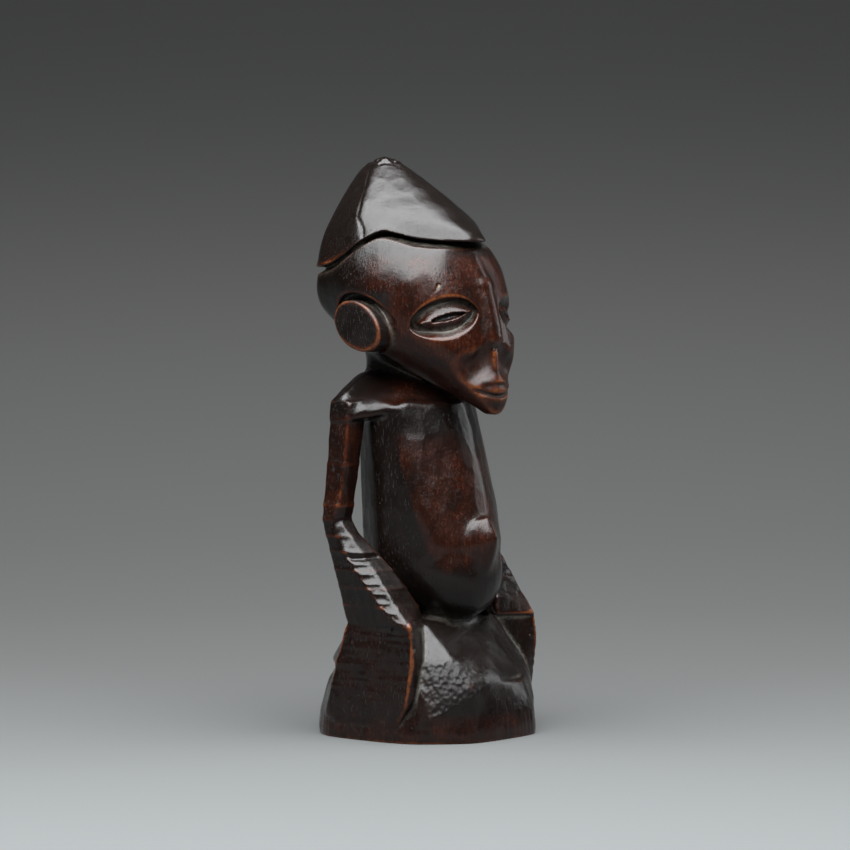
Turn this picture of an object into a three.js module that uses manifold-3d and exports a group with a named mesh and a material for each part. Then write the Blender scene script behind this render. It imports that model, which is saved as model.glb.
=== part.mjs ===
// Carved hardwood half-figure with a conical cap: one block of wood, divided into the regions
// that the carver blocked out. Millimetres, +Z up, the figure faces -Y and its right side is at -X.
// Lengths along Y are given from the middle of the base; the last lines move the finished figure
// so that the origin is on the underside, below the middle of its box.

import * as THREE from "three";
import { ConvexGeometry } from "three/addons/geometries/ConvexGeometry.js";
import { mergeVertices } from "three/addons/utils/BufferGeometryUtils.js";
import Module from "manifold-3d";

const wasm = await Module();
wasm.setup();

// ---- Driving dimensions -------------------------------------------------------------------

const TOTAL_HEIGHT = 230; // floor to the tip of the cap
const TIP_HEIGHT = 229; // the worn rear corner of the tip
const BASE_HALF_WIDTH = 40; // flats of the octagonal base, from the axis
const BASE_FLAT = 20; // half length of each flat, from the axis
const BASE_BACK = 41; // the rear flat stands a little further out

const BASE_TOP = 8; // plane between the base and the lap, seat and hip panels
const HIP_TOP = 46; // plane between the hips and the torso and forearms
const ELBOW_HEIGHT = 86; // plane between a forearm and its upper arm
const ARMPIT_HEIGHT = 126; // plane between the torso and the shoulders
const NECK_BOTTOM = 141; // plane between the shoulders and the neck
const NECK_TOP = 150; // plane between the neck and the head
const CAP_RIM_HEIGHT = 196; // rim of the cap at the front and along the sides
const CAP_RIM_BREAK_Y = 2; // behind this the rim falls towards the nape
const CAP_RIM_FALL = 0.32; // fall of the rim for each millimetre backwards

const LAP_HALF_WIDTH = 30; // plane between the lap or seat and a hip panel
const LAP_BACK = 0; // plane between the lap and the seat
const NAVEL_HEIGHT = 79;
const NAVEL_REACH = -35; // the navel cone's tip
const EAR_CENTRE = new THREE.Vector3(35.2, 5, 162.4);
const EAR_RADII = [12.5, 9];
const EAR_THICKNESS = 5.6;
const EAR_TILT = THREE.MathUtils.degToRad(32);
const EYE_CENTRE = new THREE.Vector3(19.6, -26.6, 166.5);
const EYE_TURN = THREE.MathUtils.degToRad(38); // the outer corner lies further back
const EYE_TILT = THREE.MathUtils.degToRad(18); // and lower than the inner one
const GAP = 0.3; // clearance where one region is cut to its neighbour

const SIDES = [["right", -1], ["left", 1]];

// ---- Shape helpers ------------------------------------------------------------------------

const vec = ([x, y, z]) => new THREE.Vector3(x, y, z);

/** A full outline from its half, listed from the front centre round +X to the back centre. */
function mirroredOutline(half) {
  const other = half.slice(1, -1).reverse().map(([x, y]) => [-x, y]);
  return [...half, ...other];
}

/** A closed solid through outlines of equal point count, given as [height, outline], upwards. */
function loft(sections) {
  const count = sections[0][1].length;
  const positions = [];
  for (const [height, outline] of sections) {
    for (const [x, y] of outline) positions.push(x, y, height);
  }
  const index = [];
  for (let level = 0; level < sections.length - 1; level += 1) {
    for (let i = 0; i < count; i += 1) {
      const a = level * count + i;
      const b = level * count + ((i + 1) % count);
      index.push(a, b, b + count, a, b + count, a + count);
    }
  }
  const flat = (outline) => outline.map(([x, y]) => new THREE.Vector2(x, y));
  const bottom = THREE.ShapeUtils.triangulateShape(flat(sections[0][1]), []);
  for (const [a, b, c] of bottom) index.push(a, c, b);
  const last = (sections.length - 1) * count;
  const top = THREE.ShapeUtils.triangulateShape(flat(sections.at(-1)[1]), []);
  for (const [a, b, c] of top) index.push(last + a, last + b, last + c);
  const geometry = new THREE.BufferGeometry();
  geometry.setAttribute("position", new THREE.Float32BufferAttribute(positions, 3));
  geometry.setIndex(index);
  return geometry;
}

/** The convex hull of points, each with its mirror image when it is off the middle plane. */
function mirroredHull(points) {
  const all = points.flatMap(([x, y, z]) => (x === 0 ? [[x, y, z]] : [[x, y, z], [-x, y, z]]));
  return new ConvexGeometry(all.map(vec));
}

function solid(geometry) {
  const bare = new THREE.BufferGeometry();
  bare.setAttribute("position", geometry.getAttribute("position").clone());
  if (geometry.index) bare.setIndex(geometry.index.clone());
  const merged = mergeVertices(bare, 1e-4);
  const vertProperties = new Float32Array(merged.getAttribute("position").array);
  const triVerts = new Uint32Array(merged.index.array);
  return new wasm.Manifold(new wasm.Mesh({ numProp: 3, vertProperties, triVerts }));
}

function geometryOf(manifold) {
  const mesh = manifold.getMesh();
  const geometry = new THREE.BufferGeometry();
  geometry.setAttribute("position", new THREE.Float32BufferAttribute(mesh.vertProperties, 3));
  geometry.setIndex([...mesh.triVerts]);
  return geometry;
}

/** A stretched, turned and placed sphere, for carved hollows and lids. */
function pebble(radii, tilt, turn, centre) {
  const geometry = new THREE.SphereGeometry(1, 20, 12);
  geometry.scale(...radii);
  geometry.rotateY(tilt);
  geometry.rotateZ(turn);
  geometry.translate(centre.x, centre.y, centre.z);
  return geometry;
}

/** The mirror image across the middle plane, with its faces still pointing out. */
function mirrored(geometry) {
  const copy = geometry.clone();
  copy.scale(-1, 1, 1);
  const order = copy.index ? [...copy.index.array] : [...copy.attributes.position.array.keys()];
  const corners = copy.index ? order : order.slice(0, copy.attributes.position.count);
  for (let i = 0; i < corners.length; i += 3) {
    [corners[i], corners[i + 1]] = [corners[i + 1], corners[i]];
  }
  copy.setIndex(corners);
  return copy;
}

// ---- Materials ----------------------------------------------------------------------------

const WOOD = {
  patina: { color: 0x1c110c, roughness: 0.34 },
  skin: { color: 0x3a170d, roughness: 0.3 },
  ridge: { color: 0x4a2114, roughness: 0.38 },
};

const figure = new THREE.Group();

function addRegion(name, geometry, wood) {
  const clean = geometry.index ? geometry.toNonIndexed() : geometry;
  clean.deleteAttribute("uv");
  clean.computeVertexNormals();
  const material = new THREE.MeshStandardMaterial({ ...wood, metalness: 0, flatShading: true });
  const mesh = new THREE.Mesh(clean, material);
  mesh.name = name;
  figure.add(mesh);
}

// ---- Base, lap, seat and hip panels -------------------------------------------------------

function baseOutline(inset) {
  const half = BASE_HALF_WIDTH - inset;
  const back = BASE_BACK - inset;
  return mirroredOutline([[0, -half], [BASE_FLAT, -half], [half, -BASE_FLAT],
    [half, BASE_FLAT], [BASE_FLAT, back], [0, back]]);
}

function makeBase() {
  return loft([[0, baseOutline(1)], [1.6, baseOutline(0)], [BASE_TOP, baseOutline(0.3)]]);
}

/** The sloping lap: a gable over the front of the base, its apex a little to the right. */
function makeLap() {
  const front = 39.6;
  const corners = [];
  for (const [, sign] of SIDES) {
    corners.push(
      [sign * LAP_HALF_WIDTH, LAP_BACK, BASE_TOP], [sign * LAP_HALF_WIDTH, -29.4, BASE_TOP],
      [sign * BASE_FLAT, -front, BASE_TOP], [sign * LAP_HALF_WIDTH, -23, 29],
      [sign * 25, -20.5, 38], [sign * 21, -16, HIP_TOP],
      [sign * LAP_HALF_WIDTH, LAP_BACK, HIP_TOP],
    );
  }
  const gable = [[-19, -38.4, 22.4], [-3, -36.6, 24.3], [9, -36, 20.4], [24, -34.4, 13]];
  return new ConvexGeometry([...corners, ...gable].map(vec));
}

/** Rear of the seat: its outline for each height, from the inner edge round the back. */
function makeSeat() {
  const outline = (side, corner, back) => mirroredOutline([[0, LAP_BACK],
    [LAP_HALF_WIDTH, LAP_BACK], [LAP_HALF_WIDTH, side], [BASE_FLAT, corner], [0, back]]);
  return loft([
    [BASE_TOP, outline(30.4, 40.3, 40.7)],
    [15, outline(28, 37.8, 39.5)],
    [21, outline(25.5, 34, 37)],
    [27, outline(24, 32.5, 36)],
    [32, outline(24.5, 33.5, 37)],
    [37, outline(20.5, 29.5, 34)],
    [HIP_TOP, outline(13, 24, 28)],
  ]);
}

/** One hip panel, a flat outer wall whose front edge stands proud of the lap. */
function makeHipPanel() {
  const outline = (front, outerFront, outer, outerBack, back) => [[LAP_HALF_WIDTH, front],
    [outer, outerFront], [outer, outerBack], [LAP_HALF_WIDTH, back]];
  return loft([
    [BASE_TOP, outline(-29.6, -20, 39.7, 20, 30.4)],
    [15, outline(-25.5, -21, 39.5, 18.5, 28)],
    [21, outline(-23.5, -22, 39.3, 16, 25.5)],
    [27, outline(-23, -22.3, 39, 15, 24)],
    [32, outline(-22.6, -22.5, 38.7, 14.5, 24.5)],
    [37, outline(-21.5, -22.5, 38.5, 11.5, 20.5)],
    [HIP_TOP, outline(-19, -22.5, 38.3, 9, 13)],
  ]);
}

addRegion("base", makeBase(), WOOD.ridge);
addRegion("lap", makeLap(), WOOD.patina);
addRegion("seat", makeSeat(), WOOD.patina);

// ---- Torso, shoulders and neck ------------------------------------------------------------

/** Half outline of the trunk: front stripe, front ridge, flank and back. */
function trunk(front, stripe, ridge, flank, back) {
  return mirroredOutline([[0, front], stripe, ridge, [flank, -3], [flank, 8], [18, back - 2],
    [0, back]]);
}

function makeTorso() {
  return loft([
    [HIP_TOP, trunk(-16.5, [5, -16], [14, -12], 21.5, 22)],
    [50, trunk(-23, [7, -21.8], [16, -14], 23, 22)],
    [58, trunk(-27.5, [9, -25.6], [18.5, -17.5], 25, 22)],
    [66, trunk(-30, [8, -28], [20.5, -18], 25.6, 22)],
    [73, trunk(-32, [6, -28.4], [21.6, -18], 26, 22)],
    [NAVEL_HEIGHT, trunk(NAVEL_REACH, [5, -28.4], [22, -17.8], 26.2, 22)],
    [86, trunk(-26, [5, -25.2], [22.5, -17], 26.2, 22)],
    [94, trunk(-22.6, [5.4, -22.2], [23.8, -13.4], 26, 22)],
    [106, trunk(-19.4, [5.5, -19], [25, -9], 25.8, 22)],
    [ARMPIT_HEIGHT, trunk(-15, [5.5, -14.6], [25.6, -4.4], 26.6, 22)],
  ]);
}

/** The shoulders carry both upper arms and taper into the neck. */
function makeShoulders() {
  const outline = (front, ridge, outer, outerBack, back) => mirroredOutline([[0, front],
    [5.5, front + 0.4], ridge, outer, outerBack, back, [0, back[1] + 1]]);
  return loft([
    [ARMPIT_HEIGHT, outline(-15, [25.6, -4.4], [38.7, 7], [38.7, 18.4], [18, 21])],
    [131, outline(-13.5, [24, -3.4], [37.6, 6.4], [37.6, 18.4], [18, 22])],
    [136, outline(-11, [19, -2.6], [31, 4.6], [31, 18.4], [17, 23])],
    [NECK_BOTTOM, outline(-5.5, [9.5, -3.4], [18.4, 4], [18.4, 19], [10.5, 25.6])],
  ]);
}

function makeNeck() {
  const centre = 12;
  const facets = 12;
  const outline = (radius) => Array.from({ length: facets }, (_, i) => {
    const angle = ((i + 0.5) / facets) * 2 * Math.PI;
    return [radius * Math.cos(angle), centre + radius * Math.sin(angle)];
  });
  return loft([[NECK_BOTTOM, outline(16.4)], [145.5, outline(15.6)], [NECK_TOP, outline(17.4)]]);
}

addRegion("torso", makeTorso(), WOOD.skin);
addRegion("shoulders", makeShoulders(), WOOD.patina);
addRegion("neck", makeNeck(), WOOD.patina);

// ---- Head, ears and cap -------------------------------------------------------------------

/** Everything above the rim of the cap, raised by a clearance. */
function aboveRim(clearance) {
  const reach = 80;
  const low = CAP_RIM_HEIGHT + clearance;
  const drop = (reach - CAP_RIM_BREAK_Y) * CAP_RIM_FALL;
  const side = new THREE.Shape([[-reach, low], [CAP_RIM_BREAK_Y, low], [reach, low - drop],
    [reach, 300], [-reach, 300]].map(([y, z]) => new THREE.Vector2(y, z)));
  const wedge = new THREE.ExtrudeGeometry(side, { depth: 2 * reach, bevelEnabled: false });
  wedge.applyMatrix4(new THREE.Matrix4().makeBasis(vec([0, 1, 0]), vec([0, 0, 1]), vec([1, 0, 0])));
  wedge.translate(-reach, 0, 0);
  return solid(wedge);
}

/** Skull and face: a broad crown narrowing to the jaw and the low chin, with nose and eyes. */
function makeHead() {
  const skull = solid(mirroredHull([
    [0, -26.5, 199], [17, -22.5, 199], [29.5, -7, 198], [35, 12, 196], [28, 34, 192], [0, 45, 188],
    [0, -28.6, 182], [17, -25.5, 182], [29, -15, 181], [37, 11, 181], [29.5, 34, 181], [0, 44.5, 181],
    [0, -30.8, 168], [17, -28, 168], [28.5, -17, 167], [34, 10, 168], [27, 32, 168], [0, 41, 168],
    [12, -31.4, 156], [20, -26.5, 156], [27.2, -4, 154], [29.5, 10, 155], [21, 26, 155],
    [0, 33, 155], [20, -11, NECK_TOP], [18, 10, NECK_TOP], [14, 22, NECK_TOP],
    [0, 28, NECK_TOP], [13, -30, NECK_TOP],
  ]));
  const jaw = solid(mirroredHull([
    [0, -32.5, 157], [12, -31.2, 156], [20, -25, 156], [23, -12, 156], [22, -9.5, NECK_TOP],
    [13, -24, 139], [9, -32.5, 140], [0, -36, 140], [0, -36.2, 131], [4.5, -35, 130],
    [3.5, -31.5, 128], [0, -35.2, 128], [0, -5, NECK_TOP], [12, -5.5, NECK_TOP],
  ]));
  const nose = solid(mirroredHull([
    [0, -28.5, 187], [0, -35, 157.5], [3.6, -33.2, 156.5], [4.2, -29, 156], [2.2, -27.5, 187],
    [0, -26, 158], [0, -33.4, 154.5],
  ]));
  let head = skull.add(jaw).add(nose);
  for (const [, sign] of SIDES) {
    const centre = EYE_CENTRE.clone().multiply(vec([sign, 1, 1]));
    const turn = sign * EYE_TURN;
    const tilt = sign * EYE_TILT;
    head = head.subtract(solid(pebble([12, 3.4, 7.6], tilt, turn, centre)));
    const lid = centre.clone().add(vec([-sign * 1.6, 2.6, 0]));
    head = head.add(solid(pebble([8.5, 3, 4], tilt, turn, lid)));
  }
  return head.subtract(aboveRim(0));
}

function makeCap() {
  const body = solid(mirroredHull([
    [0, -27.5, 194], [4, -27.2, 194], [19, -22.5, 194], [31.5, -5, 194], [36, 12, 192], [29.5, 34, 181],
    [15, 43, 181], [0, 46, 180], [0, -24, 201], [4, -23, 201], [27, 0, 203], [31, 14, 203],
    [25, 34, 197], [0, 43.5, 201], [3, -8, 215], [18, 12, 215], [15, 28, 215],
    [0, 35, 215], [2.5, 10, 226], [3.5, 24, TOTAL_HEIGHT], [0, 15, TOTAL_HEIGHT], [0, 29.5, TIP_HEIGHT],
  ]));
  return body.intersect(aboveRim(GAP));
}

/** One disc-shaped ear, cut to the side of the skull. */
function makeEar(head) {
  const outline = new THREE.Shape();
  outline.absellipse(0, 0, ...EAR_RADII, 0, 2 * Math.PI, false, EAR_TILT);
  const disc = new THREE.ExtrudeGeometry(outline, {
    depth: EAR_THICKNESS, curveSegments: 14, bevelThickness: 0.8, bevelSize: 0.8, bevelOffset: -0.8,
    bevelSegments: 1,
  });
  disc.applyMatrix4(new THREE.Matrix4().makeBasis(vec([0, 1, 0]), vec([0, 0, 1]), vec([1, 0, 0])));
  disc.translate(EAR_CENTRE.x - EAR_THICKNESS / 2, EAR_CENTRE.y, EAR_CENTRE.z);
  const grown = head.translate([GAP, 0, 0]);
  return geometryOf(solid(disc).subtract(grown).subtract(head));
}

const head = makeHead();
addRegion("head", geometryOf(head), WOOD.skin);
addRegion("cap", geometryOf(makeCap()), WOOD.patina);

// ---- Arms ---------------------------------------------------------------------------------

const ELBOW_OUTLINE = [[35, 10.6], [38.6, 9.6], [43, 12], [43, 17.8], [39.5, 19.6], [35, 18]];

/** Upper arm, a faceted bar from under the shoulder to the elbow. */
function makeUpperArm() {
  return loft([
    [ELBOW_HEIGHT, ELBOW_OUTLINE],
    [91, [[34.2, 10.4], [38.4, 9.4], [42.4, 10.8], [42.4, 17.8], [39.2, 19.6], [34.2, 18]]],
    [108, [[31.4, 9.6], [36, 8.4], [40.2, 9.4], [40, 18.2], [37, 20], [31.4, 18]]],
    [ARMPIT_HEIGHT, [[28.8, 8.4], [34, 7.2], [38.7, 8.6], [38.7, 18.2], [35, 20], [28.8, 18]]],
  ]);
}

/** Forearm, a wedge that widens forwards and down to the knee, with a narrow top band. */
function makeForearm() {
  return loft([
    [HIP_TOP, [[30.5, -18.5], [37.4, -22.3], [39.3, -18.5], [38.5, 9], [34.5, 11], [30.5, 12.5]]],
    [53, [[29.6, -13], [37.8, -16.5], [40.6, -12], [39.6, 10], [35, 12.4], [30, 13]]],
    [60, [[29.2, -9.8], [38.5, -9.7], [41.9, -5.6], [40.8, 11.2], [36, 13.6], [30.6, 13.8]]],
    [67, [[31, -4], [38.2, -3.6], [42.4, 1.5], [41.5, 13], [37, 15.2], [31.8, 14.8]]],
    [74, [[33, 3], [38, 3.5], [42.5, 8.4], [42.2, 15], [38, 16.8], [32.8, 15.8]]],
    [ELBOW_HEIGHT, ELBOW_OUTLINE],
  ]);
}

const pairs = {
  hip_panel: [makeHipPanel(), WOOD.ridge],
  forearm: [makeForearm(), WOOD.patina],
  upper_arm: [makeUpperArm(), WOOD.skin],
  ear: [makeEar(head), WOOD.patina],
};
for (const [part, [geometry, wood]] of Object.entries(pairs)) {
  for (const [side, sign] of SIDES) {
    addRegion(`${side}_${part}`, sign < 0 ? mirrored(geometry) : geometry.clone(), wood);
  }
}

// The head reaches further back than the base does, so the figure is set down with the middle of
// its own box over the origin.
const box = new THREE.Box3().setFromObject(figure);
figure.position.y = -box.getCenter(new THREE.Vector3()).y;

export default figure;
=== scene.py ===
import itertools
import math
from collections import Counter

import bmesh
import bpy
import numpy as np
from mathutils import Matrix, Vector


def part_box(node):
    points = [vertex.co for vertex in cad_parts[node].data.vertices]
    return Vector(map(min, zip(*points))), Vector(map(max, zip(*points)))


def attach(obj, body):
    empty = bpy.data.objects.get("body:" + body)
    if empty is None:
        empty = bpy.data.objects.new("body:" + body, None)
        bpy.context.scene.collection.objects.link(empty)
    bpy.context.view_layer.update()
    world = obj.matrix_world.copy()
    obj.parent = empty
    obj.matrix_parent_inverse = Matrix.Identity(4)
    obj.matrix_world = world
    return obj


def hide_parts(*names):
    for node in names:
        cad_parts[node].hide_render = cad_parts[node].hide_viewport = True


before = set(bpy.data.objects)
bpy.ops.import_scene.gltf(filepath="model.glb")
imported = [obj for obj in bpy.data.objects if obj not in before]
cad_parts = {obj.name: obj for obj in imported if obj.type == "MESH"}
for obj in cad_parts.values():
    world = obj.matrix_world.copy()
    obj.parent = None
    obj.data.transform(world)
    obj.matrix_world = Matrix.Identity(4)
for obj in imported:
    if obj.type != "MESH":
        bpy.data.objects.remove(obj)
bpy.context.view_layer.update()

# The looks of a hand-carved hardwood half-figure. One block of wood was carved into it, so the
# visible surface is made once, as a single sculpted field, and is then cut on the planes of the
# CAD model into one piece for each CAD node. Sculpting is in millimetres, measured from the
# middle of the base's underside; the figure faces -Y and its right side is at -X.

MM = 0.001

# ---- Places taken from the frame ------------------------------------------------------------


def top(node):
    """Height of a CAD node's top, in millimetres."""
    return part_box(node)[1].z / MM


BASE_HALF = 40.0  # the front flat of the base, from its middle
MIDDLE_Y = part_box("base")[0].y / MM + BASE_HALF  # the base's middle in the frame
Z_BASE = top("base")
Z_HIP = top("lap")
Z_ELBOW = top("right_forearm")
Z_ARMPIT = top("torso")
Z_SHOULDER = top("shoulders")
Z_NECK = top("neck")
X_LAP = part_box("lap")[1].x / MM
Y_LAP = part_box("lap")[1].y / MM - MIDDLE_Y
Z_TIP = top("cap")
X_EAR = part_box("left_ear")[1].x / MM  # outer face of the ears
STEP = 0.56  # spacing of the sculpting grid

# ---- The sculpting grid -----------------------------------------------------------------------

LOW = np.array([-46.0, -43.5, -2.2])
HIGH = np.array([46.0, 49.5, Z_TIP + 2.5])
COUNT = np.ceil((HIGH - LOW) / STEP).astype(int) + 1
AXES = [(LOW[i] + STEP * np.arange(COUNT[i])).astype(np.float32) for i in range(3)]
FAR = 30.0
field = np.full(tuple(COUNT), FAR, np.float32)  # below zero inside the wood


def block(low, high):
    """The grid slices and coordinate arrays between two corners."""
    slices = []
    coords = []
    for i in range(3):
        a = int(np.clip(np.floor((low[i] - LOW[i]) / STEP), 0, COUNT[i] - 2))
        b = int(np.clip(np.ceil((high[i] - LOW[i]) / STEP) + 1, a + 2, COUNT[i]))
        slices.append(slice(a, b))
        shape = [1, 1, 1]
        shape[i] = -1
        coords.append(AXES[i][a:b].reshape(shape))
    return tuple(slices), coords


def smooth_min(a, b, k):
    h = np.maximum(k - np.abs(a - b), 0) / k
    return np.minimum(a, b) - h * h * k / 4


def smooth_max(a, b, k):
    return -smooth_min(-a, -b, k)


def both_sides(points):
    return [p for x, y, z in points for p in ([(x, y, z)] if x == 0 else [(x, y, z), (-x, y, z)])]


def hull_planes(points):
    """The facets of the convex hull of points, as normals and offsets without repeats."""
    bm = bmesh.new()
    for p in points:
        bm.verts.new(p)
    bmesh.ops.convex_hull(bm, input=bm.verts)
    bm.normal_update()
    middle = np.mean(points, axis=0)
    planes = {}
    for face in bm.faces:
        normal = np.array(face.normal)
        offset = float(normal @ np.array(face.verts[0].co))
        if normal @ middle > offset:
            normal, offset = -normal, -offset
        planes[tuple(np.round([*normal * 40, offset]))] = (*normal, offset)
    bm.free()
    return np.array(list(planes.values()), np.float32)


MOST_EXPONENT = 80  # single precision still holds its exponential


def hull_field(points, soft, coords):
    """Distance-like value of a faceted body whose edges are rounded over about soft."""
    x, y, z = coords
    planes = hull_planes(points)
    total = np.zeros(np.broadcast_shapes(x.shape, y.shape, z.shape), np.float32)
    for nx, ny, nz, offset in planes:
        value = (nx * x + ny * y) + (nz * z - offset)
        total += np.exp(np.minimum(value / soft, MOST_EXPONENT))
    # rounding takes the corners in, so the whole body grows by part of what they lose
    at_corners = np.array(points) @ planes[:, :3].T - planes[:, 3]
    lost = soft * np.log(np.exp(np.minimum(at_corners / soft, MOST_EXPONENT)).sum(1))
    return soft * np.log(np.maximum(total, 1e-37)) - float(np.median(lost))


def add_hull(points, soft=0.7, blend=1.5, margin=8.0, mirror=True):
    """Joins a faceted body to the wood."""
    if mirror:
        points = both_sides(points)
    low = np.min(points, axis=0) - margin
    high = np.max(points, axis=0) + margin
    slices, coords = block(low, high)
    value = hull_field(points, soft, coords)
    field[slices] = smooth_min(field[slices], value, blend)


def ellipsoid(coords, centre, radii):
    x, y, z = coords
    r = np.sqrt(((x - centre[0]) / radii[0]) ** 2 + ((y - centre[1]) / radii[1]) ** 2
                + ((z - centre[2]) / radii[2]) ** 2)
    return (r - 1) * min(radii)


def around(points, margin):
    """The grid block round points and their mirror images."""
    spread = both_sides(points)
    return block(np.min(spread, axis=0) - margin, np.max(spread, axis=0) + margin)


def bump(t):
    """1 at t = 0, falling smoothly to 0 at |t| = 1."""
    return np.clip(1 - t * t, 0, 1) ** 2


def ramp(value, low, high):
    t = np.clip((value - low) / (high - low), 0, 1)
    return t * t * (3 - 2 * t)


# ---- The body -----------------------------------------------------------------------------------


def sculpt_base_and_seat():
    corners = [(11, -40), (20.6, -38.2), (30.2, -30.2), (36.8, -21.6), (39, -13), (39.4, 14),
               (38, 21.6), (31, 31), (21.6, 38.4), (11, 40.4)]
    add_hull([(x - inset, y * (1 - inset / 40), z) for x, y in corners
              for z, inset in ((-2, 0.9), (1.6, 0), (9, 0.5), (15, 1.6), (21, 3.4))], soft=0.6)
    # the block narrows upwards at the back
    add_hull([(39.6, 18.8, 9), (18.8, 38.9, 9), (39.3, -4, 9), (38.9, 15.6, 25), (17.2, 34.2, 24),
              (0, 36.6, 24), (0, 39.6, 9), (37.8, -4, 40), (16, 20, 40), (0, 0, 20)], soft=0.8)
    # the seat's ledge over it
    add_hull([(38.7, 14.4, 29), (17, 35.2, 28.5), (0, 37.4, 28), (37.6, 8, 38), (15, 31, 36.5),
              (0, 33, 37), (27, 10, 46), (12, 23, 50), (0, 24, 53), (20, 0, 30), (38, 0, 29)],
             soft=1.0, blend=1.0)


def sculpt_lap():
    add_hull([(-19.6, -38.5, 22.4), (-3, -36.6, 24.6), (9, -36, 20.6), (24, -34.5, 13.2),
              (-33.4, -26.6, 9.4), (-18, -37.4, 6), (18, -37.4, 6), (-34, -20, 5), (34, -20, 5),
              (-30, -23, 29), (-25.4, -20, 38), (-22, -15.6, 46), (30, -23, 30), (25.4, -20, 38),
              (22, -15.6, 46), (36.5, -22.5, 19), (-34, -24, 19), (9, -18.6, 40.6),
              (-14.5, -18.6, 37), (0, -14, 46.5), (-22, 5, 48), (22, 5, 48)],
             soft=0.5, mirror=False)


def hip_side(sign):
    return [(sign * x, y, z) for x, y, z in [
        (38.2, -22.6, 46.4), (38.7, -24.4, 36), (38.9, -22.8, 30), (39.2, -21.8, 22),
        (39.4, -20.6, 14), (38.2, -16, 7), (39.4, 15, 7), (39.3, 15.6, 20), (38.9, 14.6, 29),
        (38.5, 9.2, 45), (24.6, -10, 52), (22.5, -14.5, 46), (25.6, -19, 37), (30.5, -22, 29),
        (35, -22, 16), (26, 4, 50), (26, 4, 6)]]


def sculpt_arms():
    elbow = [(35, 11.2), (40.6, 11.2), (43, 13.4), (43, 17.8), (39.5, 19.6), (35, 18)]
    # inner crease, ridge, outer edge of the top band, then round the back
    sections = {
        46: [(23, -16.6), (37.2, -21.2), (40, -15.6), (38.6, 9.2), (34.5, 11), (28, 12.5)],
        53: [(24.4, -15), (37.8, -15), (41.2, -10.8), (39.8, 10.2), (35, 12.6), (28, 13)],
        60: [(26.6, -10.6), (38.5, -10), (42.4, -5.4), (40.9, 11.4), (36, 13.8), (29.4, 13.8)],
        67: [(29, -5.6), (38.8, -4.2), (42.8, 0.2), (41.6, 13.2), (37, 15.4), (31.6, 14.8)],
        74: [(32, 0.6), (39, 2.2), (42.9, 7), (42.2, 15.2), (38, 17), (32.8, 15.8)],
        80: [(33.8, 6.8), (39.6, 6.4), (43, 10.4), (42.7, 16.4), (38.8, 18.2), (33.8, 17)],
        87: elbow,
    }
    levels = sorted(sections)
    for sign in (-1, 1):
        add_hull(hip_side(sign), soft=0.45, blend=1.2, mirror=False)
        for low, high in zip(levels, levels[1:]):
            # the left forearm stands a little further forward than the right one
            both = [(sign * x, y - (2.6 if sign > 0 and y < 2.5 and x > 36 else 0), z)
                    for z in (low, high) for x, y in sections[z]]
            if low == levels[0]:
                both += [(sign * 38.2, -22.6, 45), (sign * 30, 0, 38)]
            add_hull(both, soft=0.4, blend=0.9, mirror=False)
        upper = {
            86: elbow,
            92: [(34, 10.2), (38.4, 9.4), (42.2, 10.8), (42.2, 18), (39.2, 19.8), (34, 18)],
            108: [(31.4, 9.6), (36, 8.6), (40.2, 9.4), (40, 18.2), (37, 20), (31.4, 18)],
            132: [(28, 9), (33, 8), (37.6, 9), (37.6, 18), (34, 20), (28, 18)],
        }
        arm_levels = sorted(upper)
        for low, high in zip(arm_levels, arm_levels[1:]):
            both = [(sign * x, y, z) for z in (low, high) for x, y in upper[z]]
            add_hull(both, soft=0.5, blend=1.0, mirror=False)


def sculpt_torso():
    add_hull([(5.6, -13.6, 131), (23, -3.4, 132.5), (26.6, 8, 130), (18, 20.6, 130), (0, 22, 130),
              (5.5, -19.2, 106), (25, -9, 106), (25.8, 6, 106), (17.8, 20.4, 104),
              (5.4, -25.4, 86), (22.6, -17, 86), (26, 5, 86), (17.5, 19.6, 85),
              (6.4, -28.6, 76), (20, -19.6, 76), (25.6, 4, 70), (17, 19.4, 70), (0, 21, 70),
              (22, 8, 46), (12, 20, 46), (0, 0, 50)], soft=0.8)
    # the round belly, leaning forwards as it goes down
    slices, coords = around([(25, -32, 44), (25, 20, 98)], 6)
    x, y, z = coords
    middle = -5.5 - (72 - z) * 0.24
    half_x = 23.6
    half_y = 23.6
    half_z = np.where(z < 72, 26.6, 40.0)
    r = (np.abs(x / half_x) ** 2.2 + np.abs((y - middle) / half_y) ** 2.2
         + np.abs((z - 72) / half_z) ** 2.2) ** (1 / 2.2)
    field[slices] = smooth_min(field[slices], (r - 1) * half_x, 3.0)
    # the navel cone
    add_hull([(0, -35.4, 79), (0, -30, 87), (5.5, -28, 84), (8.5, -27, 76), (5, -29, 69),
              (0, -30.5, 67.5), (0, -18, 78)], soft=0.9, blend=3.0)


def sculpt_shoulders_and_neck():
    add_hull([(20, 14.5, 144), (17.5, 3.6, 138.8), (37, 13, 134.4), (37.3, 9.4, 130.6),
              (38.5, 9, 126), (38.6, 18.2, 126), (37, 18.6, 132.6), (19, 20, 143), (14, 24, 141),
              (0, 26, 141), (0, 23.4, 126), (18, 21.2, 126), (22.8, -1.4, 132.4), (30, 7, 126),
              (6, -8.6, 138), (5.6, -13, 131.5), (0, -9, 138), (21, -1, 134)], soft=0.7)
    slices, coords = around([(34, -12, 130), (18, 8, 147)], 2)
    x, y, z = coords
    scoop = ellipsoid((np.abs(x), y, z), (27.6, -4.6, 140.4), (9.4, 9.2, 9.4))
    field[slices] = smooth_max(field[slices], -scoop, 2.0)
    slices, coords = around([(17, -6, 136), (17, 30, 158)], 8)
    x, y, z = coords
    waist = 16.0 + 0.028 * (z - 147) ** 2
    neck = np.sqrt(x * x + (y - 11.5) ** 2) - waist
    neck = np.maximum(neck, np.maximum(134 - z, z - 160))
    field[slices] = smooth_min(field[slices], neck, 2.5)


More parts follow.
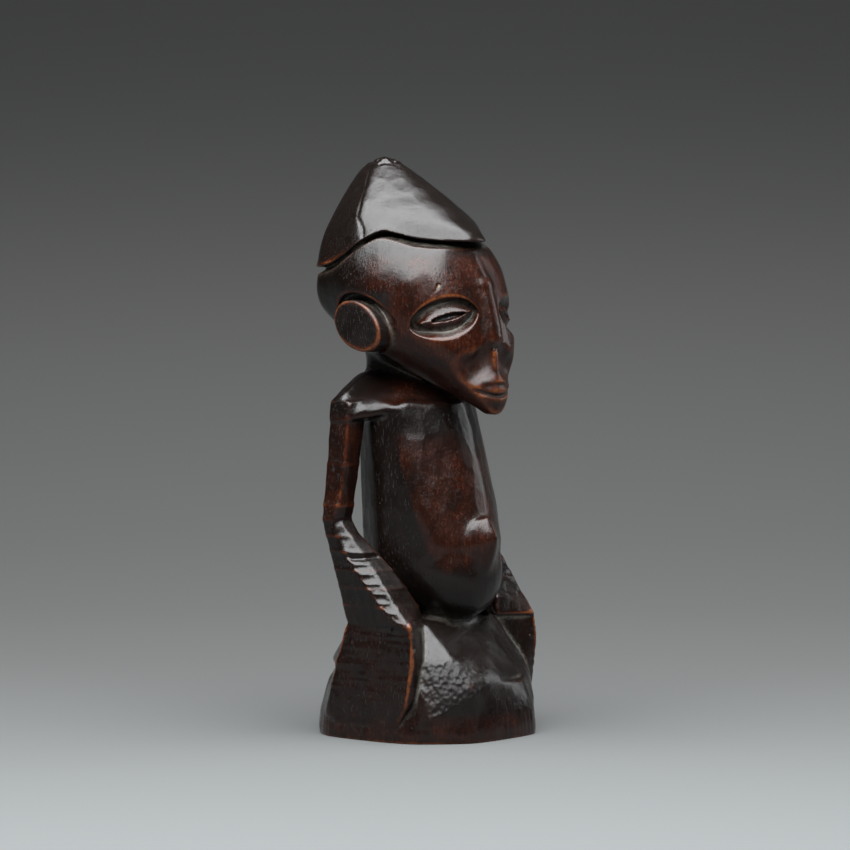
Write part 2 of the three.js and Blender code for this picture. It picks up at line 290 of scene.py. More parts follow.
# ---- The head -----------------------------------------------------------------------------------


def sculpt_skull():
    add_hull([
        (0, -19, 197), (10, -17.2, 197), (18, -10.8, 197), (27, -1, 198), (32.4, 12, 196),
        (27, 31, 191), (14, 41, 190), (0, 44, 190),
        (0, -25.4, 187), (12, -23.6, 187), (20, -19.8, 187), (28, -11, 187), (34.4, 3, 187),
        (36.4, 13, 185), (28.3, 33, 184), (15, 42.4, 184), (0, 45, 184),
        (0, -29.2, 179), (12, -26.9, 179), (20, -23.2, 179), (28, -15.7, 179), (34.4, -2, 179),
        (37.4, 11, 178), (29, 33.8, 178.5), (15, 43, 178.5), (0, 45.5, 178.5),
        (0, -31.4, 170), (12, -28.6, 170), (20, -25.2, 170), (28, -18.4, 170), (33.6, -5, 170),
        (35.4, 10, 170), (27.4, 33, 170), (14, 41, 170), (0, 43.6, 170),
        (0, -32.5, 161), (10, -31, 161), (20, -26.6, 161), (26.4, -21.1, 161), (31, -8, 161),
        (31.8, 8, 161), (22.4, 26, 161), (11, 33.4, 161), (0, 36.4, 161),
        (0, -33.1, 155), (12, -32.1, 155), (20, -27.7, 155), (25, -22.1, 155), (28.8, -6, 155),
        (28, 8, 155), (18, 21, 155), (9, 27, 155), (0, 29, 155),
        (27, -1, 157.4), (24, 8, 157), (22, -9.7, 151.6), (14, -22.1, 141), (9, -27.5, 134.8),
        (4.2, -32.1, 129.4), (0, -33.5, 128.6), (0, -2, 155), (14, -2, 155),
        (0, -35.6, 131), (5, -34.8, 131), (10, -31.7, 139)], soft=0.75)


def sculpt_muzzle_and_nose():
    add_hull([(0, -35.2, 144), (2.0, -34.8, 143.2), (9.8, -30.8, 140.4), (10, -30.8, 137),
              (4.4, -36, 139.6), (7, -34, 136.4), (6, -35, 132.6), (0, -36.6, 132.4),
              (3.4, -34.8, 128.8), (0, -35.2, 128), (0, -36.8, 139.6), (10, -24, 141),
              (9, -25, 135),
              (0, -30, 127.9)], soft=0.5, blend=1.0, margin=6)
    # height: front of the ridge, half its width, half width and depth of its foot
    nose = {
        194: (-20.8, 1.3, 3.6, -18.6), 186: (-25.2, 1.8, 4.2, -22.8), 179: (-30.0, 2.1, 4.8, -26.6),
        171: (-33.2, 2.4, 5.2, -28.8), 164: (-34.8, 2.7, 5.6, -30.2), 157: (-35.7, 3.0, 6.2, -30.8),
    }
    for levels in ((194, 186, 179), (179, 171, 164, 157)):
        points = [p for z in levels for y, w, base, back in [nose[z]]
                  for p in ((0, y, z), (w, y + 0.4, z), (base, back, z))]
        if 157 in levels:
            points += [(1.8, -34.6, 155.6), (0, -35, 155.4), (4.6, -30, 154.6)]
        add_hull(points, soft=0.5, blend=1.6, margin=5)


def carve_cheeks():
    """Hollows beside the nose and above the corners of the mouth."""
    slices, coords = around([(20, -40, 138), (4, -26, 160)], 3)
    x, y, z = coords
    mirrored = (np.abs(x), y, z)
    hollow = ellipsoid(mirrored, (7.2, -36.9, 148.8), (6.2, 6.0, 6.6))
    field[slices] = smooth_max(field[slices], -hollow, 1.6)
    beside = ellipsoid(mirrored, (13.6, -35.2, 145.6), (8, 6.0, 6.2))
    field[slices] = smooth_max(field[slices], -beside, 2.6)
    under_nose = ellipsoid(mirrored, (0, -37.0, 153.8), (4.4, 3.4, 1.9))
    # the ridge between nose and lip
    add_hull([(0, -34.4, 157), (0, -35.2, 141), (1.1, -34.1, 157), (1.4, -34.8, 141),
               (2.6, -30, 157),
               (3, -30, 141)], soft=0.35, blend=1.0, margin=4)
    field[slices] = smooth_max(field[slices], -under_nose, 0.6)


EYE_INNER = np.array([7.0, -30.4, 168.6])
EYE_OUTER = np.array([30.0, -16.8, 162.4])
SOCKET_HALF_HEIGHT = 8.2
SOCKET_POWER = 0.52  # how blunt the socket's ends are


def eye_coordinates(x, y, z):
    """Along the eye from its middle, across it, and the half length, all in millimetres."""
    middle = (EYE_INNER + EYE_OUTER) / 2
    along = EYE_OUTER - EYE_INNER
    half = np.linalg.norm(along) / 2
    along = along / (2 * half)
    out = np.cross(along, [0, 0, 1])
    out = out / np.linalg.norm(out)
    up = np.cross(out, along)
    dx, dy, dz = np.abs(x) - middle[0], y - middle[1], z - middle[2]
    s = dx * along[0] + dy * along[1] + dz * along[2]
    w = dx * up[0] + dy * up[1] + dz * up[2]
    return s, w, half


def almond(s, w, half_length, half_height, power=1.0):
    """0 on the middle line and 1 on the outline of an almond."""
    edge = half_height * np.clip(1 - (s / half_length) ** 2, 0, 1) ** power
    return np.abs(w) / np.maximum(edge, 0.05) + np.where(np.abs(s) < half_length, 0, 9)


def eye_slit(s, w):
    return almond(s + 1.3, w - 0.2, 7.8, 1.3, 0.8)


def socket_outline(x, y, z):
    """Below 1 inside an eye socket."""
    s, w, half = eye_coordinates(x, y, z)
    return almond(s, w, half, SOCKET_HALF_HEIGHT, SOCKET_POWER)


def eye_relief(x, y, z):
    """Depth cut into the face for the sockets, with the lids standing up in each."""
    s, w, half = eye_coordinates(x, y, z)
    socket = almond(s, w, half, SOCKET_HALF_HEIGHT, SOCKET_POWER)
    # a steep wall under the brow and a gentle slope on the cheek side
    depth = 4.0 * (1 - ramp(socket, np.where(w > 0, 0.7, 0.45), 1.02))
    lid = almond(s + 0.9, w - 0.3, half - 2.2, 5.2, 0.75)
    depth -= 3.4 * np.clip(1.05 - lid, 0, 1) ** 0.7
    depth += 2.4 * (1 - ramp(eye_slit(s, w), 0.5, 1.1))
    return depth


def carve_eyes():
    slices, coords = around([(3, -36, 154), (34, -10, 178)], 1)
    x, y, z = np.broadcast_arrays(*coords)
    near = ramp(4.5 - np.abs(field[slices]), 0, 1.0)
    field[slices] += (eye_relief(x, y, z) * near * (y < -8)).astype(np.float32)


def carve_mouth():
    slices, coords = around([(12, -40, 126), (0, -28, 146)], 1)
    x, y, z = coords
    line = 135.0 + 0.024 * x * x
    lips = bump(x / 11.5) ** 0.5
    depth = 1.3 * np.exp(-((z - line) / 0.7) ** 2) * lips
    depth = depth + 0.6 * np.exp(-((z - line - 4.2 * lips) / 0.9) ** 2) * bump(x / 10.5)
    depth = depth + 0.5 * np.exp(-((z - line + 4.2 * lips) / 1.2) ** 2) * bump(x / 8)
    depth = depth + 0 * y  # spreads it over the whole block
    field[slices] += depth.astype(np.float32)


EAR_TILT = math.radians(31)
EAR_MIDDLE_Y = 4.9
EAR_MIDDLE_Z = 162.4
EAR_HALF_LENGTH = 12.6
EAR_HALF_WIDTH = 9.0


def ear_coordinates(y, z):
    """Along and across an ear, and the distance outside its outline."""
    dy, dz = y - EAR_MIDDLE_Y, z - EAR_MIDDLE_Z
    a = dy * math.cos(EAR_TILT) + dz * math.sin(EAR_TILT)
    b = -dy * math.sin(EAR_TILT) + dz * math.cos(EAR_TILT)
    edge = (np.sqrt((a / EAR_HALF_LENGTH) ** 2 + (b / EAR_HALF_WIDTH) ** 2) - 1) * 9.5
    return a, b, edge


def sculpt_ears():
    slices, coords = around([(28, -12, 148), (X_EAR, 22, 176)], 3)
    x, y, z = coords
    a, b, edge = ear_coordinates(y, z)
    face = np.abs(x) - (X_EAR - 0.1 - 0.0035 * (a * a + b * b))
    disc = smooth_max(edge + 0 * x, face, 1.1)
    disc = np.maximum(disc, 27 - np.abs(x))
    # a trough round the disc, so that it stands clear of the skull
    trough = np.maximum(np.abs(edge - 1.2) - 1.4, 31.6 - np.abs(x))
    cut = smooth_max(field[slices], -(trough + 0 * z), 1.0)
    field[slices] = smooth_min(cut, disc, 0.6)


# ---- The cap ------------------------------------------------------------------------------------

RIM_LINE = [(-27, 195.2), (-18, 195.5), (-11, 196.3), (-4, 198.8), (1, 199.8), (6, 196.8),
            (14, 190.6), (22, 186.9), (30, 185.4), (48, 185.0)]


def rim_height(y):
    """Height of the cap's lower edge, which rises over the temple and falls to the nape."""
    ys, zs = zip(*RIM_LINE)
    smooth = sum(np.interp(y + shift, ys, zs) for shift in (-1.5, -0.5, 0.5, 1.5))
    return smooth / 4


def sculpt_cap():
    points = both_sides([
        (0, -25.4, 194), (4.4, -25.2, 194), (12, -18.9, 194), (20, -11.8, 194), (28, -3.9, 195),
        (33.2, 6, 193), (35.2, 14, 187), (34, 22, 184), (31, 30, 182), (20, 41.2, 182),
        (0, 46.4, 182),
        (4.4, -24.7, 196.6), (22, -4.4, 203.7), (16, -2.2, 209), (9.4, 1.4, 214), (3.4, 4.4, 219.3),
        (2.2, 13.6, 225.4), (0, 17.6, 228), (0, 22.4, 229.6), (2.4, 20, 228.4), (3, 28, 227),
        (0, 30.4, 226.6), (3.4, 33, 223.8), (0, 34.6, 223.4),
        (29.4, 14, 203), (22, 16, 212), (12, 20, 222), (24.2, 34, 198), (28.6, 31.5, 191.6),
        (20, 34.8, 203.7), (16, 35, 209), (12, 34.4, 214), (8, 32.4, 219.3), (0, 45, 191),
        (0, 42.6, 203), (0, 38.6, 214)])
    slices, coords = block(np.min(points, axis=0) - 6, np.max(points, axis=0) + 6)
    x, y, z = coords
    body = hull_field(points, 0.8, coords)
    v = z - rim_height(y)
    below = -v + 0 * x
    cap = smooth_max(body - 0.3 * bump(v / 3.0), below, 0.7)
    # a V groove just under the lip
    head = field[slices]
    head = head + (2.6 * bump((v + 0.5) / 2.6)).astype(np.float32)
    field[slices] = np.minimum(head, cap)


# ---- Surface extraction -------------------------------------------------------------------------


def surface_nets():
    """Vertices and quads of the zero surface of the field."""
    inside = field < 0
    cells = tuple(c - 1 for c in COUNT)
    total = np.zeros(cells, np.uint8)
    corners = [(i, j, k) for i in (0, 1) for j in (0, 1) for k in (0, 1)]
    for i, j, k in corners:
        total += inside[i:i + cells[0], j:j + cells[1], k:k + cells[2]]
    active = (total > 0) & (total < 8)
    index = np.full(cells, -1, np.int32)
    where = np.argwhere(active)
    index[active] = np.arange(len(where))
    sums = np.zeros((len(where), 3))
    hits = np.zeros(len(where))
    for axis in range(3):
        others = [a for a in range(3) if a != axis]
        for p in (0, 1):
            for q in (0, 1):
                start = where.copy()
                start[:, others[0]] += p
                start[:, others[1]] += q
                end = start.copy()
                end[:, axis] += 1
                fa = field[tuple(start.T)]
                fb = field[tuple(end.T)]
                cross = (fa < 0) != (fb < 0)
                t = np.where(cross, fa / np.where(cross, fa - fb, 1), 0)
                point = start.astype(float)
                point[:, axis] += t
                sums += point * cross[:, None]
                hits += cross
    verts = LOW + STEP * sums / hits[:, None]
    quads = []
    for axis in range(3):
        b, c = [a for a in range(3) if a != axis]
        if axis == 1:
            b, c = c, b
        lo = [slice(1, n - 1) for n in COUNT]
        lo[axis] = slice(0, COUNT[axis] - 1)
        hi = list(lo)
        hi[axis] = slice(1, COUNT[axis])
        first = inside[tuple(lo)]
        second = inside[tuple(hi)]
        for flip, mask in ((False, first & ~second), (True, ~first & second)):
            at = np.argwhere(mask)
            at += [s.start for s in lo]
            ring = []
            for db, dc in ((-1, -1), (0, -1), (0, 0), (-1, 0)):
                cell = at.copy()
                cell[:, b] += db
                cell[:, c] += dc
                ring.append(index[tuple(cell.T)])
            quad = np.stack(ring, axis=1)
            quads.append(quad[:, ::-1] if flip else quad)
    return verts, np.concatenate(quads)


def sample(points, values):
    """Trilinear value of a grid at points."""
    g = (points - LOW) / STEP
    base = np.clip(np.floor(g).astype(int), 0, COUNT - 2)
    f = g - base
    out = 0
    for i in (0, 1):
        for j in (0, 1):
            for k in (0, 1):
                w = (np.where(i, f[:, 0], 1 - f[:, 0]) * np.where(j, f[:, 1], 1 - f[:, 1])
                     * np.where(k, f[:, 2], 1 - f[:, 2]))
                out = out + w * values[base[:, 0] + i, base[:, 1] + j, base[:, 2] + k]
    return out


def gradient(points):
    d = STEP * 0.7
    parts = []
    for axis in range(3):
        shift = np.zeros(3)
        shift[axis] = d
        parts.append((sample(points + shift, field) - sample(points - shift, field)) / (2 * d))
    return np.stack(parts, axis=1)


def settle(verts, quads):
    """Evens out the vertices and puts them back on the surface."""
    edges = np.concatenate([quads[:, [0, 1]], quads[:, [1, 2]], quads[:, [2, 3]], quads[:, [3, 0]]])
    for _ in range(2):
        total = np.zeros_like(verts)
        count = np.zeros(len(verts))
        for a, b in ((0, 1), (1, 0)):
            for axis in range(3):
                total[:, axis] += np.bincount(edges[:, a], verts[edges[:, b], axis], len(verts))
            count += np.bincount(edges[:, a], minlength=len(verts))
        verts = verts + 0.5 * (total / count[:, None] - verts)
        slope = gradient(verts)
        length2 = np.maximum((slope ** 2).sum(1), 0.05)
        push = np.clip(sample(verts, field) / length2, -0.5 * STEP, 0.5 * STEP)
        verts = verts - push[:, None] * slope
    return verts


# ---- Tool marks, wear and dirt ------------------------------------------------------------------


def soft_noise(points, size, seed):
    """Smooth noise from -1 to 1 with features about size across."""
    values = np.random.default_rng(seed).uniform(-1, 1, (32, 32, 32))
    g = points / size
    base = np.floor(g).astype(int)
    f = g - base
    f = f * f * (3 - 2 * f)
    total = 0
    for corner in itertools.product((0, 1), repeat=3):
        weight = np.prod(np.where(corner, f, 1 - f), axis=1)
        total = total + weight * values[tuple(((base + corner) % 32).T)]
    return total


def cell_distance(points, size, seed):
    """Distance to the nearest of many scattered points, from 0 to about 1."""
    shifts = np.random.default_rng(seed).uniform(0.1, 0.9, (24, 24, 24, 3))
    g = points / size
    base = np.floor(g).astype(int)
    nearest = np.full(len(points), 9.0)
    for step in itertools.product((-1, 0, 1), repeat=3):
        cell = base + step
        spot = cell + shifts[tuple((cell % 24).T)]
        nearest = np.minimum(nearest, np.sqrt(((g - spot) ** 2).sum(1)))
    return nearest


def line_distance(points, path):
    """Distance in millimetres from points to a broken line."""
    best = np.full(len(points), 99.0)
    for a, b in zip(np.array(path, float), np.array(path[1:], float)):
        along = b - a
        t = np.clip(((points - a) @ along) / (along @ along), 0, 1)
        best = np.minimum(best, np.linalg.norm(points - a - t[:, None] * along, axis=1))
    return best


CAP_CRACK = [(-7, 26, 226), (-9.5, 23.7, 223.6), (-20, 17.4, 215), (-24.4, 15.1, 209.6),
             (-27.3, 13.4, 205), (-30, 8.6, 200.5), (-31.6, 6.9, 196.7)]
HEAD_CRACK = [(-33, 5.7, 192.9), (-34, 3.6, 189.5), (-34.4, 1.2, 186.4)]
BROW_SCAR = [(-23.6, -20.1, 174.4), (-22, -21.6, 176), (-20.6, -22.6, 178.4)]


FACET_SIZE = 5.6  # of the knife's scoops


def rough_patch(points, normals):
    """1 where the lap is pitted and rough."""
    x, y, z = points.T
    gable = 9 + (x + 33) * 0.62
    patch = ramp(-x, 9, 14) * ramp(z - gable, 0, 2.5) * ramp(33 - z, 0, 4)
    return patch * ramp(-normals[:, 1], 0.25, 0.5) * ramp(34.5 + x, 0, 3)


def tool_marks(points, normals):
    """How far each point is lifted from the smooth sculpture, in millimetres."""
    x, y, z = points.T
    wide = np.abs(x)
    head = ramp(z, 128, 136)
    limb = ramp(wide, 27, 30) * (1 - head)
    legs = ramp(48 - z, 0, 4)
    scoop = cell_distance(points * [1, 1, 0.62], FACET_SIZE, 5) ** 2 - 0.28
    lift = scoop * (0.28 + 0.24 * limb - 0.08 * legs - 0.08 * head)
    lift += 0.14 * soft_noise(points, 7.5, 3)
    # level cuts on the outside of the hips
    level = soft_noise(points * [1, 0.07, 1], 1.3, 8)
    outside = ramp(wide, 34, 37) * ramp(np.abs(normals[:, 0]), 0.55, 0.8)
    lift += 0.15 * level * outside * ramp(z, 15, 20) * ramp(50 - z, 0, 4)
    # upright grain round the base
    upright = soft_noise(points * [1, 1, 0.14], 1.1, 9)
    lift += 0.09 * upright * ramp(17 - z, 0, 4)
    # scallops down the forearms
    turn = (73 - z) / 3.7
    scallop = np.abs(np.sin(math.pi * turn)) ** 0.8
    band = ramp(wide, 38, 40.4) * ramp(z, 44, 47) * ramp(73.5 - z, 0, 1)
    lift -= 0.45 * scallop * band * ramp(normals[:, 2] - normals[:, 1], 0.1, 0.6)
    nick = bump((z - 72) / 1.6) * ramp(wide, 30, 34) * ramp(-normals[:, 1], -0.2, 0.3)
    lift -= 0.9 * nick
    # notches in the front edges of the hips
    notch = soft_noise(points * [0.2, 0.2, 1], 1.7, 12)
    front_edge = ramp(wide, 35, 37) * ramp(-y, 17, 20) * ramp(z, 12, 16) * ramp(46 - z, 0, 3)
    lift -= 0.55 * np.clip(notch, 0, 1) * front_edge
    pits = cell_distance(points, 2.2, 14)
    patch = rough_patch(points, normals)
    lift += patch * (0.9 * (pits - 0.75) + 0.25 * soft_noise(points, 0.9, 15))
    lift -= 0.35 * np.exp(-(line_distance(points, CAP_CRACK) / 0.7) ** 2)
    lift -= 0.35 * np.exp(-(line_distance(points, BROW_SCAR) / 0.6) ** 2)
    # a chipped tip
    lift += 0.5 * ramp(z, 225, 227) * soft_noise(points, 1.4, 16)
    # the underside stays flat
    return lift * ramp(z, 0.4, 1.6)


def bending(points, reach):
    """How sharply the wood bends out (above 0) or in (below 0) over a distance."""
    total = -6 * sample(points, field)
    for axis in range(3):
        for sign in (-1, 1):
            shift = np.zeros(3)
            shift[axis] = sign * reach
            total += sample(points + shift, field)
    return total / reach ** 2


def surface_story(points, normals):
    """Wear, dirt, redness, roughness, cracked lines and painted shade in the eye slits, for each
    point.
    """
    x, y, z = points.T
    wide = np.abs(x)
    fine = bending(points, 1.1)
    broad = bending(points, 2.6)
    patchy = soft_noise(points, 6, 21)
    small = soft_noise(points, 2.2, 22)
    edge = ramp(fine + 0.10 * small, 0.22, 0.75)
    low = ramp(60 - z, 0, 25)
    limb = ramp(wide, 28, 31) * ramp(130 - z, 0, 6)
    ear = ramp(wide, 32, 33.5) * ramp(z, 148, 152) * ramp(178 - z, 0, 4)
    jaw = ramp(z - jaw_plane(y), -2, 1) * ramp(160 - z, 0, 6)
    rim = np.exp(-((z - rim_height(y) - 1.2) / 1.6) ** 2)
    brow = np.exp(-((socket_outline(x, y, z) - 1.06) / 0.12) ** 2) * (y < -8)
    nape = ramp(y, 8, 22)
    low = low * np.maximum(ramp(z, 12, 22), 0.55 * ramp(5 - z, 0, 3))
    worn = edge * (0.22 + 0.62 * low + 0.3 * limb + 0.4 * jaw + 0.5 * ear + 0.4 * rim * nape)
    worn = worn * (1 - 0.75 * rim * (1 - nape)) + 0.38 * ramp(broad, 0.09, 0.26) * jaw
    worn = np.clip(worn * (1 + 0.55 * patchy) + 0.75 * brow * ramp(z, 162, 167), 0, 1)
    crease = ramp(-fine, 0.12, 0.7) * 0.7 + ramp(-broad, 0.06, 0.3) * 0.5
    groove = np.exp(-((z - rim_height(y) + 2.6) / 1.3) ** 2) * ramp(y, -12, 6)
    lap_crease = ramp(57 - z, 0, 5) * ramp(z, 14, 22) * (y < 0) * (wide < 38)
    dirt = crease * (0.35 + 0.8 * lap_crease + 0.35 * ramp(z, 150, 158)) + 0.35 * groove
    dirt = np.clip(dirt * (0.9 + 0.6 * small + 0.3 * patchy), 0, 1)
    # painted shade: the eye slits are kept free of dust here and painted as dark as a crack further
    # on
    s, w, _ = eye_coordinates(x, y, z)
    slit = (1 - ramp(eye_slit(s, w), 0.8, 1.15)) * (y < -8)
    dirt *= 1 - slit
    face = ramp(z, 128, 134) * ramp(193 - z, 0, 6) * ramp(-y, -16, 2)
    face = face * (1 - 0.6 * ramp(y, -4, 6))
    corner = np.interp(z, (64, 76, 106, 131), (-23, -17.5, -8, -2))
    front = ramp(z, 62, 72) * ramp(124 - z, 0, 12) * ramp(corner - y, -1.0, 0.6) * (wide < 27)
    arms = 0.5 * limb * ramp(z, 84, 92) + 0.2 * limb * ramp(60 - z, 0, 10)
    base = 0.5 * ramp(13 - z, 0, 6)
    face = face * (1 - ear)
    red = np.clip(np.maximum.reduce([face, 0.8 * front, arms, base, 0.5 * rim * nape])
                  * (0.85 + 0.4 * patchy), 0.06, 1)
    lips = ramp(154 - z, 0, 5) * ramp(z, 126, 130) * ramp(-y, 22, 28)
    rough = rough_patch(points, normals) + 0.5 * dirt + 0.5 * ear + 0.4 * lips
    rough = np.clip(rough, 0, 1)
    cracks_and_slit_shade = np.minimum(line_distance(points, CAP_CRACK),
                        line_distance(points, HEAD_CRACK) + 0.15)
    # painted shade: along the eye slits this mask is set close to zero, so the slits are painted as
    # dark as the cracks
    cracks_and_slit_shade = np.where(slit > 0, cracks_and_slit_shade * (1 - slit) + 0.2 * slit, cracks_and_slit_shade)
    scar = line_distance(points, BROW_SCAR)
    return {"wear": worn, "dirt": dirt, "red": red, "rough": rough, "crack_and_slit_shade": cracks_and_slit_shade, "scar": scar}


# ---- One closed piece for each CAD node ---------------------------------------------------------


JAW_Y = -26  # where the plane under the jaw meets the armpit's level
JAW_SLOPE = 0.977


def jaw_plane(y):
    """Height over which wood in front of the neck belongs to the head."""
    return np.minimum(Z_ARMPIT + (y - JAW_Y) * JAW_SLOPE, Z_NECK)


def owners(points):
    """The CAD node that each point of the surface belongs to."""
    x, y, z = points.T
    wide = np.abs(x)
    side = np.where(x < 0, "right_", "left_").astype(object)
    name = np.full(len(points), "torso", object)
    crease = np.where(z > 76, 27.4, np.minimum(23 + (y + 16.6) * 0.545, 27.4))
    limb = wide > np.maximum(crease, 22)
    low = z < Z_HIP
    name[low & (y < Y_LAP)] = "lap"
    name[low & (y >= Y_LAP)] = "seat"
    panel = low & (wide > X_LAP)
    name[panel] = side[panel] + "hip_panel"
    name[z < Z_BASE] = "base"
    forearm = (z >= Z_HIP) & (z < Z_ELBOW) & limb
    name[forearm] = side[forearm] + "forearm"
    upper = (z >= Z_ELBOW) & (z < Z_ARMPIT) & limb
    name[upper] = side[upper] + "upper_arm"
    name[z >= Z_ARMPIT] = "shoulders"
    name[z >= Z_SHOULDER] = "neck"
    head = (z > Z_ARMPIT) & (z > jaw_plane(y))
    name[head] = "head"
    _, _, edge = ear_coordinates(y, z)
    ear = head & (wide > 31.2) & (edge < 0.7)
    name[ear] = side[ear] + "ear"
    name[(z > 180) & (z > rim_height(y) - 0.4)] = "cap"
    return name


def cut(bm, place, normal, where):
    """Splits the faces that cross a plane, where a test of their middle holds."""
    place = Vector(place)
    normal = Vector(normal)
    faces = []
    for face in bm.faces:
        middle = face.calc_center_median()
        if abs((middle - place).dot(normal)) < 1.6 * STEP and where(middle):
            faces.append(face)
    edges = {edge for face in faces for edge in face.edges}
    corners = {vert for face in faces for vert in face.verts}
    bmesh.ops.bisect_plane(bm, geom=[*faces, *edges, *corners], dist=0.02, plane_co=place,
                           plane_no=normal)


def cut_surface(verts, quads):
    """The surface split along the planes where CAD nodes meet."""
    whole = bpy.data.meshes.new("whole")
    whole.from_pydata(verts.tolist(), [], quads.tolist())
    bm = bmesh.new()
    bm.from_mesh(whole)
    bpy.data.meshes.remove(whole)
    up = (0, 0, 1)
    cut(bm, (0, 0, Z_BASE), up, lambda p: True)
    cut(bm, (0, 0, Z_HIP), up, lambda p: True)
    cut(bm, (0, 0, Z_ELBOW), up, lambda p: abs(p.x) > 27)
    cut(bm, (0, 0, Z_ARMPIT), up, lambda p: True)
    cut(bm, (0, 0, Z_SHOULDER), up, lambda p: p.z > jaw_plane(p.y) - 20 and p.y > -12)
    cut(bm, (0, 0, Z_NECK), up, lambda p: p.y > -4 and abs(p.x) < 24)
    cut(bm, (0, JAW_Y, Z_ARMPIT), (0, -JAW_SLOPE, 1), lambda p: p.y < 0 and p.z < Z_NECK + 2)
    for side in (-1, 1):
        cut(bm, (side * X_LAP, 0, 0), (1, 0, 0), lambda p: p.z < Z_HIP + 1)
    bm.verts.ensure_lookup_table()
    points = np.array([vert.co for vert in bm.verts])
    bm.verts.index_update()
    faces = [[vert.index for vert in face.verts] for face in bm.faces]
    middles = np.array([face.calc_center_median() for face in bm.faces])
    neighbours = [[other.index for edge in face.edges for other in edge.link_faces
                   if other is not face] for face in bm.faces]
    bm.free()
    return points, faces, middles, neighbours


def smooth_owners(name, neighbours):
    """Gives a face that is nearly surrounded by another node to that node."""
    for _ in range(3):
        before = name.copy()
        for index, others in enumerate(neighbours):
            mine = before[index]
            strangers = [before[k] for k in others if before[k] != mine]
            if len(strangers) >= 3:
                name[index] = max(set(strangers), key=strangers.count)
    return name


def circuits(edges):
    """Walks boundary edges into closed rounds."""
    onward = {}
    for a, b in edges:
        onward.setdefault(a, []).append(b)
    rounds = []
    for start in list(onward):
        while onward[start]:
            walk = [start]
            here = onward[start].pop()
            while here != start:
                walk.append(here)
                here = onward[here].pop()
            rounds.append(walk)
    return rounds


OUTER_HUB_X = 34  # of the hip panels and forearms
ARM_HUB = (26, -1.5, 60)  # behind the crease between belly and forearm
LAP_HUB_Z = 27


def wall_hub(name, spot):
    """The point inside the wood where the inner faces behind a boundary edge come together."""
    x, y, z = spot
    side = -1 if x < 0 else 1
    outer = "panel" in name or "forearm" in name
    if z < Z_BASE + 0.1:
        return (side * OUTER_HUB_X, 0, Z_BASE) if outer else (0, 0, Z_BASE)
    if abs(z - Z_HIP) < 0.1:
        return (side * OUTER_HUB_X, -2, Z_HIP) if outer else (0, 0, Z_HIP)
    if z < Z_HIP:
        return side * X_LAP, 0, LAP_HUB_Z
    if z < Z_ELBOW - 0.1:
        return side * ARM_HUB[0], ARM_HUB[1], ARM_HUB[2]
    return None


def closed(name, faces, points):
    """Inner faces over each opening. A few edges where several hubs meet stay open."""
    directed = Counter((a, b) for face in faces for a, b in zip(face, face[1:] + face[:1]))
    open_edges = [(a, b) for (a, b), uses in directed.items()
                  for _ in range(uses - directed.get((b, a), 0))]
    extra = []
    inner = []
    for walk in circuits(open_edges):
        middle = tuple(points[walk].mean(axis=0))
        hubs = []
        for a, b in zip(walk, walk[1:] + walk[:1]):
            hubs.append(wall_hub(name, (points[a] + points[b]) / 2) or middle)
        index = {}
        for hub in hubs:
            if hub not in index:
                index[hub] = len(points) + len(extra)
                extra.append(hub)
        numbers = [index[hub] for hub in hubs]
        heart = len(points) + len(extra)
        turns = [i for i in range(len(walk)) if numbers[i] != numbers[i - 1]]
        if len(turns) > 2:
            extra.append(tuple(np.mean(list(index), axis=0)))
        for i, a in enumerate(walk):
            inner.append([walk[(i + 1) % len(walk)], a, numbers[i]])
        for i in turns:
            inner.append([walk[i], numbers[i - 1], numbers[i]])
            if len(turns) > 2:
                inner.append([numbers[i], numbers[i - 1], heart])
    return inner, extra


def make_piece(name, material, faces, points, normals, story):
    inner, extra = closed(name, faces, points)
    all_points = np.concatenate([points, np.array(extra).reshape(-1, 3)])
    all_faces = faces + inner
    used = sorted({index for face in all_faces for index in face})
    lookup = {old: new for new, old in enumerate(used)}
    mesh = bpy.data.meshes.new("carved_" + name)
    place = (all_points[used] + [0, MIDDLE_Y, 0]) * MM
    mesh.from_pydata(place.tolist(), [], [[lookup[i] for i in face] for face in all_faces])
    mesh.polygons.foreach_set("use_smooth", np.ones(len(all_faces), bool))
    pad = np.zeros(len(extra))
    for key, values in story.items():
        layer = mesh.attributes.new(key, "FLOAT", "POINT")
        layer.data.foreach_set("value", np.concatenate([values, pad])[used].astype(np.float32))
    down = np.tile([0.0, 0.0, -1.0], (len(extra), 1)).reshape(-1, 3)
    mesh.normals_split_custom_set_from_vertices(np.concatenate([normals, down])[used].tolist())
    mesh.materials.append(material)
    piece = bpy.data.objects.new("carved_" + name, mesh)
    bpy.context.scene.collection.objects.link(piece)
    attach(piece, "root")
    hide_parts(name)
    return piece


SLOTS = {
    "worn_wood": ["base", "right_hip_panel", "left_hip_panel"],
    "polished_wood": ["torso", "head", "right_upper_arm", "left_upper_arm"],
    "dark_patina": ["lap", "seat", "shoulders", "neck", "cap", "right_forearm", "left_forearm",
                    "right_ear", "left_ear"],
}

# ---- Wood --------------------------------------------------------------------------------------


